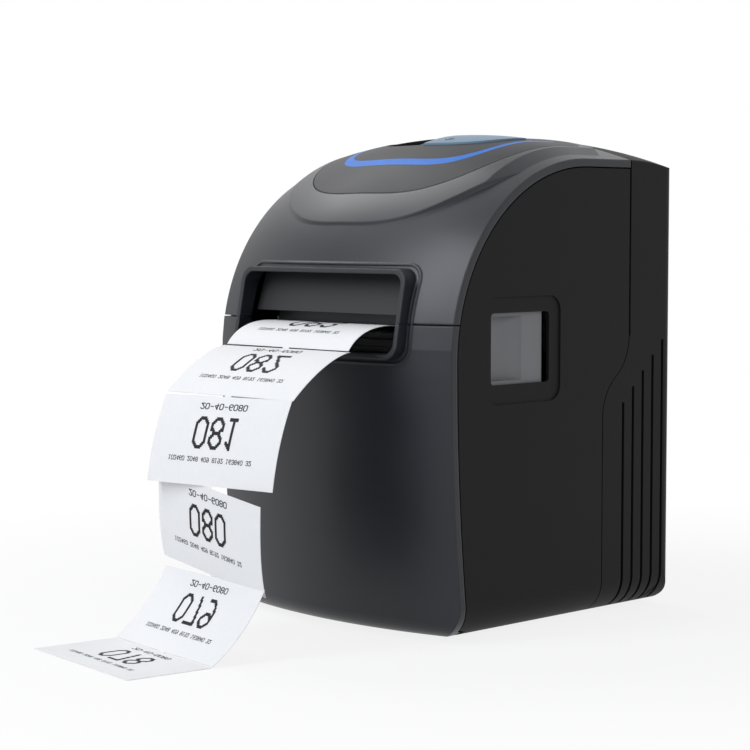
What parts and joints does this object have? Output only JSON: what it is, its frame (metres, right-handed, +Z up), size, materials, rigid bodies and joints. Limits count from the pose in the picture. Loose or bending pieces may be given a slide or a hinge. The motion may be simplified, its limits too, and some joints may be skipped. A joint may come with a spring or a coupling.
{
  "type": "receipt printer",
  "caption": "Front-exit thermal receipt printer with an arched lift-up hood, oval control panel, stepped paper mouth, side release lever and a printed ticket strip.",
  "frame": {"origin": "on the counter under the feet, midway between the two sides and between the front and rear feet datum", "axes": "+X towards the lever side, -Y out of the paper mouth, +Z up"},
  "size_m": [0.15, 0.2945, 0.2237],
  "materials": {
    "case_grey": "satin moulded plastic",
    "case_black": "fine matt grain",
    "panel_grey": "smooth",
    "band_blue": "smooth, tinted",
    "window_black": "polished",
    "key_blue_grey": "smooth",
    "lever_grey": "fine matt",
    "inner_black": "matt",
    "inner_grey": "matt",
    "rubber": "matt",
    "steel": "brushed",
    "motor_steel": "plated",
    "aluminium": "extruded",
    "brass": "turned",
    "acetal": "moulded",
    "board_green": "solder mask",
    "ceramic": "glazed",
    "paper": "smooth coated",
    "cardboard": "plain"
  },
  "bodies": {
    "base": {"base_tray": "inner_black", "rubber_feet": "rubber", "case_screws": "steel", "front_panel": "case_grey", "side_panel_right": "case_black", "side_panel_left": "case_black", "rear_cover": "case_black", "frame_left": "steel", "frame_right": "steel", "paper_bucket": "inner_grey", "platen_bushes": "acetal", "feed_motor": "motor_steel", "idler_post": "steel", "cutter_beam": "motor_steel", "cutter_motor": "motor_steel", "exit_guide": "inner_black", "main_board": "board_green", "dc_inlet": "inner_black", "usb_port": "steel", "lan_port": "steel", "drawer_port": "inner_black", "switch_body": "inner_black", "hinge_brackets": "steel", "lever_guide": "inner_black", "lever_spring": "steel", "paper_sensor": "inner_black", "ticket_strip": "paper"},
    "lid": {"hood": "case_grey", "exit_plate": "case_grey", "control_panel": "panel_grey", "light_band": "band_blue", "status_window": "window_black", "panel_board": "board_green", "hinge_arms": "inner_grey", "head_carrier": "inner_grey", "fixed_blade": "steel", "heat_sink": "aluminium", "print_head": "ceramic", "head_springs": "steel"},
    "feed_key": {"feed_key": "key_blue_grey"},
    "platen": {"platen_roller": "rubber", "platen_shaft": "steel", "platen_gear": "acetal"},
    "idler": {"idler_gear": "acetal"},
    "motor_rotor": {"motor_pinion": "brass"},
    "roll": {"paper_roll": "paper", "paper_core": "cardboard"},
    "lever": {"release_lever": "lever_grey"},
    "latch": {"latch_shaft": "acetal"},
    "rocker": {"power_rocker": "inner_black"},
    "blade": {"cutter_blade": "steel"},
    "cutter_drive": {"cutter_shaft": "steel"}
  },
  "joints": [
    {"name": "lid_hinge", "type": "hinge", "parent": "base", "child": "lid", "pos_m": [0, 0.068, 0.205], "axis": [-1, 0, 0], "range_deg": [0, 98]},
    {"name": "feed_key_press", "type": "slide", "parent": "lid", "child": "feed_key", "axis": [0, 0, -1], "range_m": [0, 0.001], "stiffness_N_per_m": 300, "springref_m": -0.002},
    {"name": "platen_spin", "type": "hinge", "parent": "base", "child": "platen", "pos_m": [0, -0.05, 0.1286], "axis": [1, 0, 0], "continuous": true},
    {"name": "idler_spin", "type": "hinge", "parent": "base", "child": "idler", "pos_m": [-0.0535, -0.04404, 0.09792], "axis": [1, 0, 0], "continuous": true},
    {"name": "motor_spin", "type": "hinge", "parent": "base", "child": "motor_rotor", "pos_m": [-0.0535, -0.04849, 0.07266], "axis": [1, 0, 0], "continuous": true},
    {"name": "roll_spin", "type": "hinge", "parent": "base", "child": "roll", "pos_m": [0, 0.004, 0.1093], "axis": [1, 0, 0], "continuous": true},
    {"name": "lever_slide", "type": "slide", "parent": "base", "child": "lever", "axis": [0, 1, 0], "range_m": [0, 0.006], "stiffness_N_per_m": 300, "springref_m": -0.003, "deforming": ["lever_spring"]},
    {"name": "latch_turn", "type": "hinge", "parent": "base", "child": "latch", "pos_m": [0, -0.044, 0.116], "axis": [-1, 0, 0], "range_deg": [0, 19.3]},
    {"name": "rocker_tilt", "type": "hinge", "parent": "base", "child": "rocker", "pos_m": [-0.048, 0.073, 0.032], "axis": [-1, 0, 0], "range_deg": [0, 16]},
    {"name": "blade_slide", "type": "slide", "parent": "base", "child": "blade", "axis": [0, 0, 1], "range_m": [0, 0.005]},
    {"name": "cutter_drive_turn", "type": "hinge", "parent": "base", "child": "cutter_drive", "pos_m": [0, -0.05855, 0.117], "axis": [-1, 0, 0], "range_deg": [0, 71.8]}
  ],
  "couplings": [
    {"joint": "idler_spin", "follows": "platen_spin", "ratio": -0.56},
    {"joint": "motor_spin", "follows": "platen_spin", "ratio": 2},
    {"joint": "roll_spin", "follows": "platen_spin", "ratio": 0.1875},
    {"joint": "latch_turn", "follows": "lever_slide", "rad_per_m": 55.9},
    {"joint": "cutter_drive_turn", "follows": "blade_slide", "rad_per_m": 250}
  ]
}
